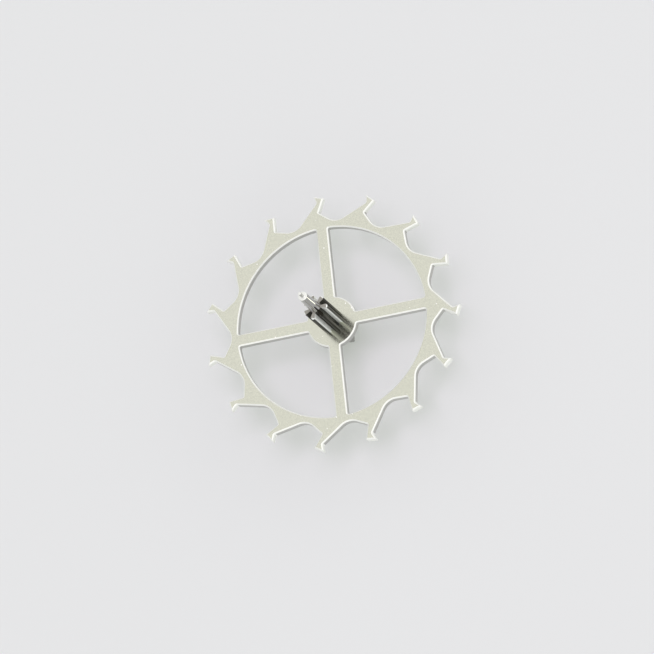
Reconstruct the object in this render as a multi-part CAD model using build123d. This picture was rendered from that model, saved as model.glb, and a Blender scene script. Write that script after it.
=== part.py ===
from build123d import *
from math import cos, hypot, radians, sin, sqrt, tan
import os

# Escape wheel of a lever watch: a thin steel wheel with fifteen club teeth, riveted on a steel
# pinion that is turned in one piece with its arbor and both pivots.
# Lengths are in millimetres and angles in degrees. Z is the arbor's axis, with the pinion above
# the wheel. The origin is on the axis, in the plane of the lower pivot's shoulder. The arms lie
# along X and Y. Seen from above, the toes of the teeth lead clockwise.

# Heights along the arbor
lower_pivot_length = 0.24
lower_arbor_length = 1.38
wheel_thickness = 0.22
leaf_length = 1.36
upper_arbor_length = 1.02
upper_pivot_length = 0.24

# Teeth, each in its own axes: across is square to the radius through its toe
tooth_count = 15
heel_radius = 3.50
impulse_drop = 0.09
impulse_width = 0.265
heel_depth = 0.190
heel_overhang = 0.061
lock_depth = 0.38
draw_angle = 22.5
root_depth = 0.695
root_corner_share = 0.262
neck_fillet = 0.06
lock_fillet = 0.03
root_fillet = 0.42

# Rim, arms and hub
rim_width = 0.135
arm_count = 4
arm_width = 0.32
hub_radius = 0.68
window_fillet = 0.04
toe_lead_angle = 2.1
edge_bevel = 0.034
under_bevel = 0.015

# Seat of the wheel on the pinion: turned-down leaf ends that pass the bore and are riveted over
seat_radius = 0.22
seat_clearance = 0.002
rivet_spread = 0.04
rivet_sink = 0.04
rivet_height = 0.03

# Pinion leaves
leaf_count = 7
leaf_tip_radius = 0.334
leaf_root_radius = 0.150
leaf_thickness = 0.110
leaf_root_fillet = 0.030
leaf_end_bevel = 0.030
leaf_lead_angle = 43

# Arbor and pivots
arbor_root_radius = 0.145
arbor_shoulder_radius = 0.120
shoulder_bevel = 0.020
pivot_radius = 0.042
pivot_end_radius = 0.030

# Cutters run past what they cut by this much
overrun = 0.5

# Radii of the wheel, from the heels of the teeth inwards
toe_radius = heel_radius - impulse_drop
root_corner_radius = toe_radius - root_depth
rim_inner_radius = root_corner_radius - rim_width

# Radii where the wheel and the pinion meet
bore_radius = seat_radius + seat_clearance
rivet_radius = seat_radius + rivet_spread

# Heights along the arbor, from the lower pivot's tip upwards
lower_tip_z = -lower_pivot_length
wheel_under_z = lower_arbor_length
wheel_top_z = wheel_under_z + wheel_thickness
leaf_top_z = wheel_top_z + leaf_length
upper_shoulder_z = leaf_top_z + upper_arbor_length
upper_tip_z = upper_shoulder_z + upper_pivot_length

tooth_pitch = 360 / tooth_count
leaf_pitch = 360 / leaf_count


def turned(x, y, angle):
    """The point (x, y) turned clockwise about the axis, as seen from above."""
    a = radians(angle)
    return (x * cos(a) + y * sin(a), y * cos(a) - x * sin(a))


def tooth_outline():
    """Corners of all the teeth, clockwise, and the fillet of each corner."""
    heel_y = sqrt(heel_radius**2 - impulse_width**2)
    neck = (heel_overhang - impulse_width, heel_y - heel_depth)
    heel = (-impulse_width, heel_y)
    toe = (0, toe_radius)
    lock = (-lock_depth * tan(radians(draw_angle)), toe_radius - lock_depth)
    root = turned(0, root_corner_radius, root_corner_share * tooth_pitch)
    corners = [neck, heel, toe, lock, root]
    fillets = [neck_fillet, 0, 0, lock_fillet, root_fillet]
    points = []
    for tooth in range(tooth_count):
        angle = toe_lead_angle + tooth * tooth_pitch
        points += [turned(x, y, angle) for x, y in corners]
    return points, fillets * tooth_count


def wheel_windows():
    """The openings between hub, arms and rim, with their corners rounded."""
    windows = Circle(rim_inner_radius) - Circle(hub_radius)
    for arm in range(arm_count):
        spoke = Rectangle(arm_width, rim_inner_radius + overrun, align=(Align.CENTER, Align.MIN))
        windows -= Rot(0, 0, arm * 360 / arm_count) * spoke
    return fillet(windows.vertices(), window_fillet)


def build_wheel():
    """The wheel: one flat plate with teeth, rim, arms, hub and a countersunk bore."""
    points, fillets = tooth_outline()
    plate = make_face(FilletPolyline(*points, radius=fillets, close=True)) - wheel_windows()
    wheel = extrude(Pos(0, 0, wheel_under_z) * plate, wheel_thickness)
    wheel = chamfer(wheel.faces().sort_by(Axis.Z)[-1].edges(), edge_bevel)
    wheel = chamfer(wheel.faces().sort_by(Axis.Z)[0].edges(), under_bevel)
    bore = Pos(0, 0, wheel_under_z + wheel_thickness / 2) * Cylinder(bore_radius, wheel_thickness + overrun)
    sink = Pos(0, 0, wheel_under_z + rivet_sink / 2) * Cone(rivet_radius + seat_clearance, bore_radius, rivet_sink)
    return wheel - bore - sink


def turned_blank():
    """The pinion as it leaves the lathe: leaf ring, seat, rivet, arbor and both pivots."""
    blank_profile = [
        (0, lower_tip_z),
        (pivot_radius, lower_tip_z),
        (pivot_radius, 0),
        (arbor_shoulder_radius - shoulder_bevel, 0),
        (arbor_shoulder_radius, shoulder_bevel),
        (arbor_root_radius, wheel_under_z - rivet_height),
        (rivet_radius, wheel_under_z - rivet_height),
        (rivet_radius, wheel_under_z),
        (seat_radius, wheel_under_z + rivet_sink),
        (seat_radius, wheel_top_z),
        (leaf_tip_radius, wheel_top_z),
        (leaf_tip_radius, leaf_top_z - leaf_end_bevel),
        (leaf_tip_radius - leaf_end_bevel, leaf_top_z),
        (arbor_root_radius, leaf_top_z),
        (arbor_shoulder_radius, upper_shoulder_z - shoulder_bevel),
        (arbor_shoulder_radius - shoulder_bevel, upper_shoulder_z),
        (pivot_radius, upper_shoulder_z),
        (pivot_radius, upper_tip_z),
        (0, upper_tip_z),
    ]
    section = make_face(Polyline(*[(r, 0, z) for r, z in blank_profile], close=True))
    blank = revolve(section, Axis.Z)
    ends = blank.edges().filter_by(GeomType.CIRCLE).sort_by(Axis.Z)
    return fillet([ends[0], ends[-1]], pivot_end_radius)


def leaf_star():
    """Section through the leaves: straight radial flanks, round tips and filleted roots."""
    half = leaf_thickness / 2
    shoulder = leaf_tip_radius - half
    leaf = make_face(
        Curve()
        + [
            Line((0, 0), (-half, shoulder)),
            ThreePointArc((-half, shoulder), (0, leaf_tip_radius), (half, shoulder)),
            Line((half, shoulder), (0, 0)),
        ]
    )
    star = Circle(leaf_root_radius)
    for number in range(leaf_count):
        star += Rot(0, 0, -leaf_lead_angle - number * leaf_pitch) * leaf
    roots = [v for v in star.vertices() if hypot(v.X, v.Y) < (leaf_root_radius + shoulder) / 2]
    return fillet(roots, leaf_root_fillet)


def build_pinion():
    """The pinion: the turned blank with the spaces between its leaves cut away."""
    spaces = Circle(leaf_tip_radius + overrun) - leaf_star()
    cut_height = leaf_top_z - wheel_under_z + 2 * overrun
    cutter = extrude(Pos(0, 0, wheel_under_z - overrun) * spaces, cut_height)
    return turned_blank() - cutter


os.makedirs("parts", exist_ok=True)
pieces = {
    "escape_wheel": build_wheel(),
    "escape_pinion": build_pinion(),
}
for name, piece in pieces.items():
    piece.label = name
    export_step(piece, f"parts/{name}.step")
    print(name, "volume", round(piece.volume, 5), "box", piece.bounding_box().size)
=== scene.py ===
from math import acos, asin, atan, ceil, cos, pi, radians, sin, sqrt, tan

import bmesh
import bpy
from mathutils import Matrix, Vector


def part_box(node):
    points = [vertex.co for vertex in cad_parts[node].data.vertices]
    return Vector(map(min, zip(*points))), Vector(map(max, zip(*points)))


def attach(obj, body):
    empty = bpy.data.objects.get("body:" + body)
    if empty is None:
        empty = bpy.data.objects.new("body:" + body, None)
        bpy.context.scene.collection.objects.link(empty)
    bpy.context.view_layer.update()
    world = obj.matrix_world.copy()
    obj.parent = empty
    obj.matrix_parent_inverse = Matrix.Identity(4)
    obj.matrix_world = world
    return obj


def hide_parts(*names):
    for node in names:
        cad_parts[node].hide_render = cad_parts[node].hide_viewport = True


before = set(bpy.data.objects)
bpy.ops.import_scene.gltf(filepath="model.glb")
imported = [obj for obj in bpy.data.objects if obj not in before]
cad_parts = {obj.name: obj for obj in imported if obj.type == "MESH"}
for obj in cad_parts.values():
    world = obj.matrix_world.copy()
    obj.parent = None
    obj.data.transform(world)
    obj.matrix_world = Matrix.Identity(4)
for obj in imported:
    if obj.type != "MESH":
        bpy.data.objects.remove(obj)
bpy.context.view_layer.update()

# The wheel: one plate of hardened steel with fifteen club teeth, a thin rim, four arms and a hub.
# It is milled to its outline and lapped flat on both faces, with a 45 degree bevel along the
# upper edges. The bevel's brightness is partly its polish and partly a painted highlight, and the
# walls' darker colour is painted shade. Sizes are in millimetres, and the finished mesh is scaled
# to metres.
mm = 0.001
chord_error = 0.00012
weld_distance = chord_error / 10
wheel_under_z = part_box("escape_wheel")[0].z / mm
wheel_top_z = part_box("escape_wheel")[1].z / mm
tooth_count = 15
heel_radius = 3.50
toe_radius = 3.41
impulse_width = 0.265
heel_depth = 0.190
heel_overhang = 0.061
lock_depth = 0.38
draw_angle = radians(22.5)
root_corner_radius = 2.715
root_corner_share = 0.262
neck_fillet = 0.06
lock_fillet = 0.03
root_fillet = 0.42
rim_inner_radius = 2.58
arm_count = 4
arm_width = 0.32
hub_radius = 0.68
window_fillet = 0.04
toe_lead_angle = radians(2.1)
edge_bevel = 0.034
under_bevel = 0.015
bore_radius = 0.222
bore_segments = 90
sink_radius = 0.262
sink_depth = 0.04


def only(kind, items):
    """The vertices, edges or faces among what an operator gives back."""
    return [item for item in items if isinstance(item, kind)]


def clockwise(x, y, angle):
    """The point (x, y) turned clockwise about the arbor, as seen from above."""
    return Vector((x * cos(angle) + y * sin(angle), y * cos(angle) - x * sin(angle), 0))


def run(bm, last, point):
    """Carries an outline on from its last point in a straight line, and returns the new one."""
    new = bm.verts.new(point)
    bm.edges.new((last, new))
    return new


def swing(bm, last, centre, angle):
    """Carries an outline on round an arc, clockwise where the angle is negative."""
    radius = (last.co - centre).length
    steps = ceil(abs(angle) / (2 * acos(1 - chord_error / radius)))
    arc = bmesh.ops.spin(bm, geom=[last], cent=centre, axis=(0, 0, 1), angle=angle, steps=steps)
    return only(bmesh.types.BMVert, arc["geom_last"])[0]


def rounded_outline(bm, corners):
    """Draws a closed outline through its corners, each a point and the radius of its fillet."""
    first = last = None
    for number, (corner, fillet) in enumerate(corners):
        back = (corners[number - 1][0] - corner).normalized()
        onward = (corners[(number + 1) % len(corners)][0] - corner).normalized()
        half = back.angle(onward) / 2
        start = corner + back * fillet / tan(half)
        last = run(bm, last, start) if last else bm.verts.new(start)
        first = first or last
        if fillet:
            centre = corner + (back + onward).normalized() * fillet / sin(half)
            turn = pi - 2 * half
            last = swing(bm, last, centre, -turn if back.cross(onward).z > 0 else turn)
    bm.edges.new((last, first))


def window_outline(bm, angle):
    """Draws the opening between two arms, the hub and the rim, with its corners rounded."""
    side = arm_width / 2
    corner = side + window_fillet
    rim_reach = rim_inner_radius - window_fillet
    hub_reach = hub_radius + window_fillet
    rim_lean = asin(corner / rim_reach)
    hub_lean = asin(corner / hub_reach)
    rim_y = rim_reach * cos(rim_lean)
    hub_y = hub_reach * cos(hub_lean)
    axis = Vector((0, 0, 0))
    first = bm.verts.new(clockwise(side, rim_y, angle))
    last = swing(bm, first, clockwise(corner, rim_y, angle), -pi / 2 - rim_lean)
    last = swing(bm, last, axis, 2 * rim_lean - pi / 2)
    last = swing(bm, last, clockwise(rim_y, corner, angle), -pi / 2 - rim_lean)
    last = run(bm, last, clockwise(hub_y, side, angle))
    last = swing(bm, last, clockwise(hub_y, corner, angle), hub_lean - pi / 2)
    last = swing(bm, last, axis, pi / 2 - 2 * hub_lean)
    last = swing(bm, last, clockwise(corner, hub_y, angle), hub_lean - pi / 2)
    bm.edges.new((last, first))


wheel = bmesh.new()
heel_y = sqrt(heel_radius**2 - impulse_width**2)
root = clockwise(0, root_corner_radius, root_corner_share * 2 * pi / tooth_count)
tooth_corners = [
    (heel_overhang - impulse_width, heel_y - heel_depth, neck_fillet),
    (-impulse_width, heel_y, 0),
    (0, toe_radius, 0),
    (-lock_depth * tan(draw_angle), toe_radius - lock_depth, lock_fillet),
    (root.x, root.y, root_fillet),
]
tooth_angles = [toe_lead_angle + tooth * 2 * pi / tooth_count for tooth in range(tooth_count)]
rounded_outline(
    wheel, [(clockwise(x, y, angle), fillet) for angle in tooth_angles for x, y, fillet in tooth_corners]
)
for arm in range(arm_count):
    window_outline(wheel, arm * 2 * pi / arm_count)
bmesh.ops.create_circle(wheel, segments=bore_segments, radius=bore_radius)
bmesh.ops.remove_doubles(wheel, verts=wheel.verts, dist=weld_distance)
bmesh.ops.triangle_fill(wheel, edges=wheel.edges, use_beauty=True, normal=(0, 0, 1))

# The blank is raised to its thickness between the two rows of bevels.
under_faces = wheel.faces[:]
raised = bmesh.ops.extrude_face_region(wheel, geom=under_faces, use_keep_orig=True)["geom"]
top_faces = only(bmesh.types.BMFace, raised)
bmesh.ops.translate(wheel, verts=wheel.verts, vec=(0, 0, wheel_under_z + under_bevel))
plain_wall = wheel_top_z - edge_bevel - wheel_under_z - under_bevel
bmesh.ops.translate(wheel, verts=only(bmesh.types.BMVert, raised), vec=(0, 0, plain_wall))
bmesh.ops.recalc_face_normals(wheel, faces=wheel.faces)
for faces, bevel in ((top_faces, edge_bevel), (under_faces, under_bevel)):
    bmesh.ops.inset_region(wheel, faces=faces, thickness=bevel, depth=bevel, use_even_offset=True)

# The bore has no bevel above, and a countersink below that the pinion is riveted into.
bore_rings = [
    (wheel_top_z, bore_radius),
    (wheel_top_z - edge_bevel, bore_radius),
    (wheel_under_z + under_bevel, bore_radius),
    (wheel_under_z, sink_radius),
]
bore_verts = [v for v in wheel.verts if v.co.xy.length < hub_radius / 2]
for height, radius in bore_rings:
    ring = [v for v in bore_verts if abs(v.co.z - height) < chord_error]
    for v in ring:
        v.co.xy = v.co.xy.normalized() * radius
        if height == wheel_under_z + under_bevel:
            v.co.z = wheel_under_z + sink_depth
bmesh.ops.recalc_face_normals(wheel, faces=wheel.faces)


def finished(bm, name, crease=radians(25)):
    """Makes a finished piece of a mesh in millimetres: scaled to metres, smooth between creases."""
    bmesh.ops.scale(bm, verts=bm.verts, vec=(mm, mm, mm))
    mesh = bpy.data.meshes.new(name)
    bm.to_mesh(mesh)
    bm.free()
    mesh.shade_smooth()
    mesh.set_sharp_from_angle(angle=crease)
    piece = bpy.data.objects.new(name, mesh)
    bpy.context.collection.objects.link(piece)
    weighted = piece.modifiers.new("flat_faces_stay_flat", "WEIGHTED_NORMAL")
    weighted.keep_sharp = True
    return piece


def wired(tree, kind, *values, **settings):
    """A node of a tree with its settings, its inputs fed in order by numbers and other outputs."""
    node = tree.nodes.new(kind)
    for name, setting in settings.items():
        setattr(node, name, setting)
    for socket, value in zip([socket for socket in node.inputs if socket.enabled], values):
        if isinstance(value, bpy.types.NodeSocket):
            tree.links.new(value, socket)
        else:
            socket.default_value = value
    return node


def result(tree, kind, *values, **settings):
    """The first output of such a node."""
    return next(socket for socket in wired(tree, kind, *values, **settings).outputs if socket.enabled)


def sum_of(tree, operation, *values):
    """The output of a sum worked out on numbers and other outputs."""
    return result(tree, "ShaderNodeMath", *values, operation=operation)


def group_with(name, inputs, outputs):
    """An empty node group with sockets by name and kind, what it is given and what it hands out."""
    group = bpy.data.node_groups.new(name, "ShaderNodeTree")
    for way, sockets in (("INPUT", inputs), ("OUTPUT", outputs)):
        for socket, kind in sockets.items():
            group.interface.new_socket(name=socket, in_out=way, socket_type="NodeSocket" + kind)
    return group, group.nodes.new("NodeGroupInput").outputs, group.nodes.new("NodeGroupOutput").inputs


def place_on_piece(tree):
    """A point's place on its piece, and the same without its height along the arbor."""
    place = wired(tree, "ShaderNodeTexCoord").outputs["Object"]
    return place, result(tree, "ShaderNodeVectorMath", place, (1, 1, 0), operation="MULTIPLY")


def make_steel_finish():
    """A group for the grain of a steel surface: fine lines, and sparse bright specks among them.

    Each frequency counts lines per metre: across the piece, along the arbor or round it.
    """
    grain_detail = 3
    grain_roughness = 0.65
    grain_mean = 0.5
    specks_per_metre = 7000
    speck_size = 0.13
    speck_steel = (0.95, 0.95, 0.92, 1)
    inputs = {"Steel": "Color", "Roughness": "Float", "Across": "Float", "Along": "Float"}
    inputs |= {"Round": "Float", "Contrast": "Float", "Specks": "Float"}
    group, given, made = group_with("steel_finish", inputs, {"Colour": "Color", "Roughness": "Float"})
    place, square = place_on_piece(group)
    reach = result(group, "ShaderNodeVectorMath", square, operation="LENGTH")
    x, y, z = wired(group, "ShaderNodeSeparateXYZ", place).outputs
    grain_x = sum_of(group, "MULTIPLY", x, given["Across"])
    grain_y = sum_of(group, "MULTIPLY", y, given["Across"])
    grain_r = sum_of(group, "MULTIPLY", reach, given["Round"])
    grain_z = sum_of(group, "MULTIPLY_ADD", z, given["Along"], grain_r)
    grain_at = result(group, "ShaderNodeCombineXYZ", grain_x, grain_y, grain_z)
    grain = result(group, "ShaderNodeTexNoise", grain_at, 1, grain_detail, grain_roughness)
    uneven = sum_of(group, "SUBTRACT", grain, grain_mean)
    tone = sum_of(group, "MULTIPLY_ADD", uneven, given["Contrast"], 1)
    toned = result(group, "ShaderNodeVectorMath", given["Steel"], tone, operation="MULTIPLY")
    cells = wired(group, "ShaderNodeTexVoronoi", place, specks_per_metre).outputs
    pick = result(group, "ShaderNodeSeparateColor", cells["Color"])
    kept = sum_of(group, "LESS_THAN", pick, given["Specks"])
    core = sum_of(group, "LESS_THAN", cells["Distance"], speck_size)
    speck = sum_of(group, "MULTIPLY", kept, core)
    speckled = result(group, "ShaderNodeMix", speck, toned, speck_steel, data_type="RGBA")
    rougher = sum_of(group, "MULTIPLY_ADD", uneven, given["Contrast"], given["Roughness"])
    group.links.new(speckled, made["Colour"])
    group.links.new(rougher, made["Roughness"])
    return group


steel_finish = make_steel_finish()


def steel(name, colour, roughness, contrast, across=0, along=0, around=0, specks=0, metal=1):
    """A bare steel material with its own colour, grain and specks, and its share of mirror light."""
    material = bpy.data.materials.new(name)
    material.use_nodes = True
    tree = material.node_tree
    values = ((*colour, 1), roughness, across, along, around, contrast, specks)
    finish = wired(tree, "ShaderNodeGroup", *values, node_tree=steel_finish)
    shader = tree.nodes["Principled BSDF"]
    shader.inputs["Metallic"].default_value = metal
    tree.links.new(finish.outputs["Colour"], shader.inputs["Base Color"])
    tree.links.new(finish.outputs["Roughness"], shader.inputs["Roughness"])
    return material


wheel_plate = finished(wheel, "wheel_plate")
lapped = steel("lapped_face", (0.69, 0.69, 0.59), 0.16, 0.40, across=34000, along=34000, specks=0.12)
# The bevels' near-white, partly matte colour is partly their polish and partly a painted highlight.
polished_and_highlit = steel("polished_bevel_and_highlight", (0.92, 0.92, 0.88), 0.32, 0.04, across=9000, along=9000, metal=0.3)
# The walls' darker colour is painted shade, on top of their milled grain.
milled_and_shaded = steel("milled_wall_and_shade", (0.53, 0.53, 0.50), 0.32, 0.22, across=900, along=30000)
wheel_steels = [lapped, polished_and_highlit, milled_and_shaded]
for material in wheel_steels:
    wheel_plate.data.materials.append(material)
club_radius = 3.1
flat_normal = 0.99
sloping_normal = 0.3
for face in wheel_plate.data.polygons:
    rise = abs(face.normal.z)
    if rise > flat_normal:
        material = lapped
    elif rise > sloping_normal or face.center.xy.length > club_radius * mm:
        material = polished_and_highlit
    else:
        material = milled_and_shaded
    face.material_index = wheel_steels.index(material)
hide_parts("escape_wheel")
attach(wheel_plate, "root")

# The pinion: turned in one piece with its arbor and both pivots from hard steel, with seven leaves
# cut in it. The leaves are painted black as shade, with painted highlight bands on the sides that
# face square to the camera's azimuth. Below the leaves it is turned down to pass through the
# wheel's bore, and its leaf ends are spread into the countersink with a rivet punch.
pinion_low_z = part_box("escape_pinion")[0].z / mm
pinion_high_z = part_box("escape_pinion")[1].z / mm
pivot_length = 0.24
leaf_length = 1.36
leaf_count = 7
leaf_tip_radius = 0.334
leaf_root_radius = 0.150
leaf_thickness = 0.110
leaf_root_fillet = 0.030
leaf_end_bevel = 0.030
leaf_lead_angle = radians(43)
seat_radius = 0.22
rivet_radius = 0.26
rivet_height = 0.03
arbor_root_radius = 0.145
arbor_shoulder_radius = 0.120
arbor_segments = 60
shoulder_bevel = 0.020
pivot_radius = 0.042
pivot_end_radius = 0.030
pivot_end_steps = 8
leaf_top_z = wheel_top_z + leaf_length


def leaf_outline(bm, last, angle):
    """Draws one leaf and the bottom of the space after it, clockwise, split at the seat's radius."""
    half = leaf_thickness / 2
    shoulder = leaf_tip_radius - half
    flank_angle = atan(half / shoulder)
    fillet_reach = leaf_root_radius + leaf_root_fillet
    fillet_angle = asin(leaf_root_fillet / fillet_reach)
    flank_foot = fillet_reach * cos(fillet_angle)
    before = angle - flank_angle - fillet_angle
    after = angle + flank_angle + fillet_angle
    foot = clockwise(0, leaf_root_radius, before)
    last = run(bm, last, foot) if last else bm.verts.new(foot)
    first = last
    last = swing(bm, last, clockwise(0, fillet_reach, before), pi / 2 - fillet_angle)
    last = run(bm, last, clockwise(0, seat_radius, angle - flank_angle))
    last = run(bm, last, clockwise(-half, shoulder, angle))
    last = swing(bm, last, clockwise(0, shoulder, angle), -pi)
    last = run(bm, last, clockwise(0, seat_radius, angle + flank_angle))
    last = run(bm, last, clockwise(0, flank_foot, angle + flank_angle))
    last = swing(bm, last, clockwise(0, fillet_reach, after), pi / 2 - fillet_angle)
    space_turn = 2 * pi / leaf_count - 2 * (flank_angle + fillet_angle)
    last = swing(bm, last, Vector((0, 0, 0)), -space_turn)
    return first, last


def carried(bm, edges, height, shape):
    """Carries a closed outline up or down to a height, where shape gives each point's radius."""
    made = bmesh.ops.extrude_edge_only(bm, edges=edges)["geom"]
    verts = set(only(bmesh.types.BMVert, made))
    for v in verts:
        v.co.z = height
        v.co.xy *= shape(v.co.xy.length) / v.co.xy.length
    return [e for e in only(bmesh.types.BMEdge, made) if verts.issuperset(e.verts)]


def cut_leaves(bm, edges, radius, levels):
    """Carries the leaves' outline through its levels, turned down or spread to each one's radius."""
    for height, level_radius in levels:
        reach = min(radius, level_radius) - chord_error
        edges = carried(bm, edges, height, lambda r: level_radius if r > reach else r)
        radius = level_radius
    return edges


def turned(bm, edges, profile):
    """Carries a round outline through a lathe profile of radii and heights, and closes its end."""
    for radius, height in profile:
        edges = carried(bm, edges, height, lambda r: radius)
    bmesh.ops.edgeloop_fill(bm, edges=edges)


def pivot_profile(shoulder_z, way):
    """The lathe profile of one end of the arbor: bevelled shoulder, pivot and its rounded end."""
    round_z = shoulder_z + way * (pivot_length - pivot_end_radius)
    profile = [
        (arbor_shoulder_radius, shoulder_z - way * shoulder_bevel),
        (arbor_shoulder_radius - shoulder_bevel, shoulder_z),
        (pivot_radius, shoulder_z),
        (pivot_radius, round_z),
    ]
    for step in range(1, pivot_end_steps + 1):
        angle = step / pivot_end_steps * pi / 2
        radius = pivot_radius - pivot_end_radius * (1 - cos(angle))
        profile.append((radius, round_z + way * pivot_end_radius * sin(angle)))
    return profile


pinion = bmesh.new()
first = last = None
for leaf in range(leaf_count):
    begun, last = leaf_outline(pinion, last, leaf_lead_angle + leaf * 2 * pi / leaf_count)
    first = first or begun
pinion.edges.new((last, first))
bmesh.ops.remove_doubles(pinion, verts=pinion.verts, dist=chord_error)
bevel_z = leaf_top_z - leaf_end_bevel
bmesh.ops.translate(pinion, verts=pinion.verts, vec=(0, 0, bevel_z))
leaf_section = pinion.edges[:]
end_levels = [(leaf_top_z, leaf_tip_radius - leaf_end_bevel)]
top_outline = cut_leaves(pinion, leaf_section, leaf_tip_radius, end_levels)
rivet_levels = [
    (wheel_top_z, leaf_tip_radius),
    (wheel_top_z, seat_radius),
    (wheel_under_z + sink_depth, seat_radius),
    (wheel_under_z, rivet_radius),
    (wheel_under_z - rivet_height, rivet_radius),
]
under_outline = cut_leaves(pinion, leaf_section, leaf_tip_radius, rivet_levels)
arbor_ends = [
    (top_outline, leaf_top_z, pinion_high_z - pivot_length, 1),
    (under_outline, wheel_under_z - rivet_height, pinion_low_z + pivot_length, -1),
]
for outline, height, shoulder_z, way in arbor_ends:
    level = Matrix.Translation((0, 0, height))
    foot = bmesh.ops.create_circle(pinion, segments=arbor_segments, radius=arbor_root_radius, matrix=level)
    ring = list({edge for v in foot["verts"] for edge in v.link_edges})
    bmesh.ops.triangle_fill(pinion, edges=outline + ring, use_beauty=True, normal=(0, 0, way))
    turned(pinion, ring, pivot_profile(shoulder_z, way))
bmesh.ops.remove_doubles(pinion, verts=pinion.verts, dist=weld_distance)
bmesh.ops.recalc_face_normals(pinion, faces=pinion.faces)
leaf_pinion = finished(pinion, "leaf_pinion")


def make_rubbed_band():
    """A group for the painted highlight on the leaves: 1 where it is painted, and 0 beside it, where
    the leaves are painted black as shade.

    The band lies on the two sides of the pinion that face square to the camera's azimuth. It covers
    what lies between the distances Inner and Outer from the arbor's axis, in metres, and stands out
    to a side by more than Side, but for a strip at the middle of each side that reaches as far as
    Strip to either hand.
    """
    # The painted highlight band faces square to the camera's azimuth.
    highlight_side_azimuth = radians(40.2)
    edge_width = 0.00002
    inputs = {"Inner": "Float", "Outer": "Float", "Side": "Float", "Strip": "Float"}
    group, given, made = group_with("rubbed_band", inputs, {"Mask": "Float"})
    square = place_on_piece(group)[1]
    reach = result(group, "ShaderNodeVectorMath", square, operation="LENGTH")
    begun = sum_of(group, "SUBTRACT", given["Inner"], edge_width)
    ended = sum_of(group, "ADD", given["Outer"], edge_width)
    inside = result(group, "ShaderNodeMapRange", reach, begun, given["Inner"])
    outside = result(group, "ShaderNodeMapRange", reach, ended, given["Outer"])
    mask = sum_of(group, "MULTIPLY", inside, outside)
    side_way = (cos(highlight_side_azimuth), sin(highlight_side_azimuth), 0)
    strip_way = (sin(highlight_side_azimuth), -cos(highlight_side_azimuth), 0)
    for way, limit in ((side_way, given["Side"]), (strip_way, given["Strip"])):
        along_way = result(group, "ShaderNodeVectorMath", square, way, operation="DOT_PRODUCT")
        apart = sum_of(group, "ABSOLUTE", along_way)
        start = sum_of(group, "SUBTRACT", limit, edge_width)
        beyond = result(group, "ShaderNodeMapRange", apart, start, limit)
        mask = sum_of(group, "MULTIPLY", mask, beyond)
    group.links.new(mask, made["Mask"])
    return group


rubbed_band = make_rubbed_band()


def rubbed(material, inner, outer, side, strip):
    """Keeps a material's own colour, a painted highlight, in the band, and paints it black beside it as
    painted shade.
    """
    # This black is painted shade on the leaves.
    painted_shade_black = (0.022, 0.020, 0.015, 1)
    leaf_sheen = 0.05
    tree = material.node_tree
    shader = tree.nodes["Principled BSDF"]
    bright = shader.inputs["Base Color"].links[0].from_socket
    limits = [limit * mm for limit in (inner, outer, side, strip)]
    mask = result(tree, "ShaderNodeGroup", *limits, node_tree=rubbed_band)
    light_painted = result(tree, "ShaderNodeMix", mask, painted_shade_black, bright, data_type="RGBA")
    tree.links.new(light_painted, shader.inputs["Base Color"])
    shader.inputs["Specular IOR Level"].default_value = leaf_sheen


turned_steel = steel("turned_steel", (0.44, 0.435, 0.42), 0.08, 0.16, along=26000, around=26000)
# The near-white, matte leaf colours are a painted highlight inside the band. Beside it they are painted
# black as shade.
leaf_side = steel("leaf_side", (0.95, 0.95, 0.93), 0.30, 0.10, across=20000, metal=0)
leaf_end = steel("leaf_end", (0.36, 0.345, 0.31), 0.22, 0.60, across=20000, along=20000, metal=0)
leaf_bevel = steel("leaf_bevel", (0.92, 0.92, 0.90), 0.30, 0.04, across=9000, along=9000, metal=0)
rubbed(leaf_side, inner=0.182, outer=0.302, side=0.100, strip=0.080)
rubbed(leaf_end, inner=0, outer=leaf_tip_radius, side=0.090, strip=0)
rubbed(leaf_bevel, inner=0, outer=leaf_tip_radius, side=0.090, strip=0)
pinion_steels = [turned_steel, leaf_side, leaf_end, leaf_bevel, polished_and_highlit]
for material in pinion_steels:
    leaf_pinion.data.materials.append(material)
level_slack = 0.001
for face in leaf_pinion.data.polygons:
    height = face.center.z / mm
    rise = abs(face.normal.z)
    on_leaf = face.center.xy.length > arbor_root_radius * mm
    if wheel_under_z + sink_depth < height < leaf_top_z - level_slack and rise < sloping_normal:
        material = leaf_side
    elif wheel_top_z - level_slack < height < leaf_top_z + level_slack and on_leaf:
        material = leaf_end if rise > flat_normal else leaf_bevel
    elif rise > sloping_normal:
        material = polished_and_highlit
    else:
        material = turned_steel
    face.material_index = pinion_steels.index(material)
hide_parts("escape_pinion")
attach(leaf_pinion, "root")

# The table: a plain pale surface that the wheel stands on, under the tip of its lower pivot. It is
# wide enough to fill the picture, and keeps the wheel's shadow.
table_size = 10
table_colour = (0.79, 0.79, 0.80, 1)
table_roughness = 0.6
table_bm = bmesh.new()
bmesh.ops.create_grid(table_bm, x_segments=1, y_segments=1, size=table_size / 2)
bmesh.ops.translate(table_bm, verts=table_bm.verts, vec=(0, 0, pinion_low_z * mm))
table_mesh = bpy.data.meshes.new("table")
table_bm.to_mesh(table_mesh)
table_bm.free()
table = bpy.data.objects.new("table", table_mesh)
bpy.context.collection.objects.link(table)
paint = bpy.data.materials.new("pale_table")
paint.use_nodes = True
paint_shader = paint.node_tree.nodes["Principled BSDF"]
paint_shader.inputs["Base Color"].default_value = table_colour
paint_shader.inputs["Roughness"].default_value = table_roughness
table.data.materials.append(paint)

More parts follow.
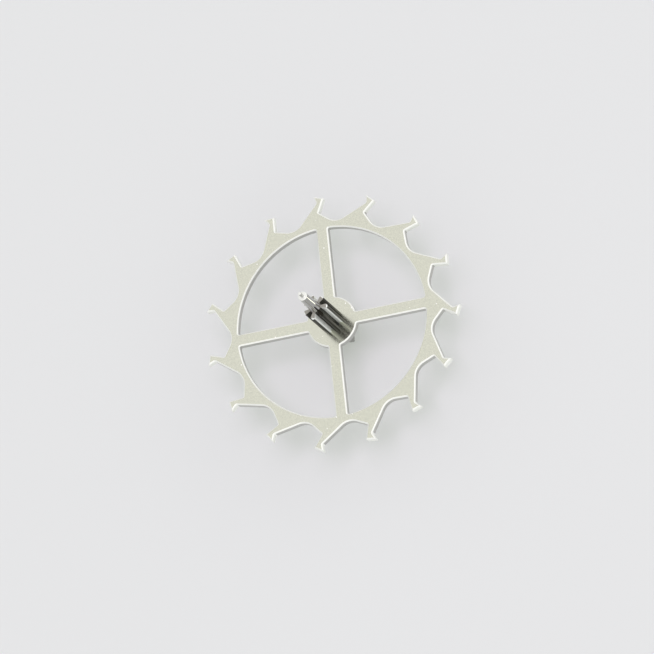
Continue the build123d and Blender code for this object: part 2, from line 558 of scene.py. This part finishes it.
# The camera: a long lens that looks down on the wheel, rolled as in the photograph. It is aimed so
# that the middle of the wheel's upper face comes at its pixel in a frame of 654 by 654.
camera_azimuth = radians(-49.8)
camera_elevation = radians(65.2)
camera_roll = radians(49.05)
frame_pixels = 654
pixels_per_mm = 38.40
hub_pixel = (331.44, 321.45)
focal_length = 400
sensor_width = 36
back = Vector(
    (
        cos(camera_elevation) * cos(camera_azimuth),
        cos(camera_elevation) * sin(camera_azimuth),
        sin(camera_elevation),
    )
)
level_right = Vector((-sin(camera_azimuth), cos(camera_azimuth), 0))
level_up = back.cross(level_right)
right = level_right * cos(camera_roll) - level_up * sin(camera_roll)
up = level_right * sin(camera_roll) + level_up * cos(camera_roll)
aim_x = (frame_pixels / 2 - hub_pixel[0]) / pixels_per_mm * mm
aim_y = (hub_pixel[1] - frame_pixels / 2) / pixels_per_mm * mm
aim = Vector((0, 0, wheel_top_z * mm)) + right * aim_x + up * aim_y
view_width = frame_pixels / pixels_per_mm * mm
camera_data = bpy.data.cameras.new("camera")
camera_data.lens = focal_length
camera_data.sensor_width = sensor_width
camera_data.clip_start = 0.01
camera_data.clip_end = 20
camera = bpy.data.objects.new("camera", camera_data)
bpy.context.collection.objects.link(camera)
camera_turn = Matrix((right, up, back)).transposed().to_4x4()
camera_distance = view_width * focal_length / sensor_width
camera.matrix_world = Matrix.Translation(aim + back * camera_distance) @ camera_turn
bpy.context.scene.camera = camera

# The light: a pale tent with three brighter cloths, as round a bench microscope. Polished steel
# mirrors the cloths, and the tent's plain light falls on the rest. The third cloth shows only in
# the image of one mirroring face in another, as on the arbor. Azimuths count from the camera.
world = bpy.data.worlds.new("light_tent")
world.use_nodes = True
tent = world.node_tree
seen_way = wired(tent, "ShaderNodeTexCoord").outputs["Generated"]


def tent_way(azimuth, elevation):
    """The direction towards a place on the tent, given in degrees."""
    turn = camera_azimuth + radians(azimuth)
    rise = radians(elevation)
    return (cos(rise) * cos(turn), cos(rise) * sin(turn), sin(rise))


def seen_towards(azimuth, elevation):
    """The cosine of the angle between the seen direction and a place on the tent."""
    way = tent_way(azimuth, elevation)
    return result(tent, "ShaderNodeVectorMath", seen_way, way, operation="DOT_PRODUCT")


def faded(value, none, full):
    """A smooth step of a value, from 0 at its first limit to 1 at its second."""
    return result(tent, "ShaderNodeMapRange", value, none, full, interpolation_type="SMOOTHSTEP")


def round_patch(azimuth, elevation, full, none):
    """A round patch of the tent: 1 within so many degrees of its middle, and 0 from so many on."""
    return faded(seen_towards(azimuth, elevation), cos(radians(none)), cos(radians(full)))


def band_patch(left, right, side_fade, low, high, edge_fade):
    """A patch between two azimuths and two elevations in degrees, which fades out beyond them."""
    across = sum_of(tent, "ARCTAN2", seen_towards(90, 0), seen_towards(0, 0))
    risen = seen_towards(0, 90)
    edges = [
        faded(across, radians(left - side_fade), radians(left)),
        faded(across, radians(right + side_fade), radians(right)),
        faded(risen, sin(radians(low - edge_fade)), sin(radians(low))),
        faded(risen, sin(radians(high + edge_fade)), sin(radians(high))),
    ]
    patch = edges[0]
    for edge in edges[1:]:
        patch = sum_of(tent, "MULTIPLY", patch, edge)
    return patch


ray = wired(tent, "ShaderNodeLightPath").outputs
most_for_one_mirror = 1.5
mirrored_twice = sum_of(tent, "GREATER_THAN", ray["Glossy Depth"], most_for_one_mirror)
roof_patch = round_patch(azimuth=180, elevation=62, full=24, none=50)
side_patch = band_patch(left=-58, right=108, side_fade=9, low=0, high=40, edge_fade=8)
line_patch = round_patch(azimuth=58, elevation=65, full=8, none=14)
twice_seen_patch = sum_of(tent, "MULTIPLY", line_patch, mirrored_twice)
cloths = [
    {"patch": roof_patch, "in_mirrors": 0.18, "in_light": 0},
    {"patch": side_patch, "in_mirrors": 0.45, "in_light": 0.4},
    {"patch": twice_seen_patch, "in_mirrors": 5, "in_light": 0},
]
mirrored = 0.80
shed = 0.665
shed_tint = (0.975, 1.03, 0.95)
backdrop = (0.79, 0.79, 0.79, 1)
for cloth in cloths:
    mirrored = sum_of(tent, "MULTIPLY_ADD", cloth["patch"], cloth["in_mirrors"], mirrored)
    shed = sum_of(tent, "MULTIPLY_ADD", cloth["patch"], cloth["in_light"], shed)
shed = result(tent, "ShaderNodeVectorMath", shed, shed_tint, operation="MULTIPLY")
caught = result(tent, "ShaderNodeMix", ray["Is Glossy Ray"], shed, mirrored, data_type="RGBA")
seen = result(tent, "ShaderNodeMix", ray["Is Camera Ray"], caught, backdrop, data_type="RGBA")
tent.links.new(seen, tent.nodes["Background"].inputs["Color"])
bpy.context.scene.world = world
bpy.context.scene.view_settings.view_transform = "Standard"

lamp_distance = 0.25
lamp_way = Vector(tent_way(azimuth=18, elevation=81))
lamp_turn = lamp_way.to_track_quat("Z", "Y").to_matrix().to_4x4()
lamp_data = bpy.data.lights.new("ceiling_lamp", "AREA")
lamp_data.shape = "DISK"
lamp_data.size = 0.14
lamp_data.energy = 0.19
lamp_data.color = (0.93, 0.79, 1.0)
lamp = bpy.data.objects.new("ceiling_lamp", lamp_data)
lamp.matrix_world = Matrix.Translation(lamp_way * lamp_distance) @ lamp_turn
lamp.visible_glossy = False
bpy.context.collection.objects.link(lamp)
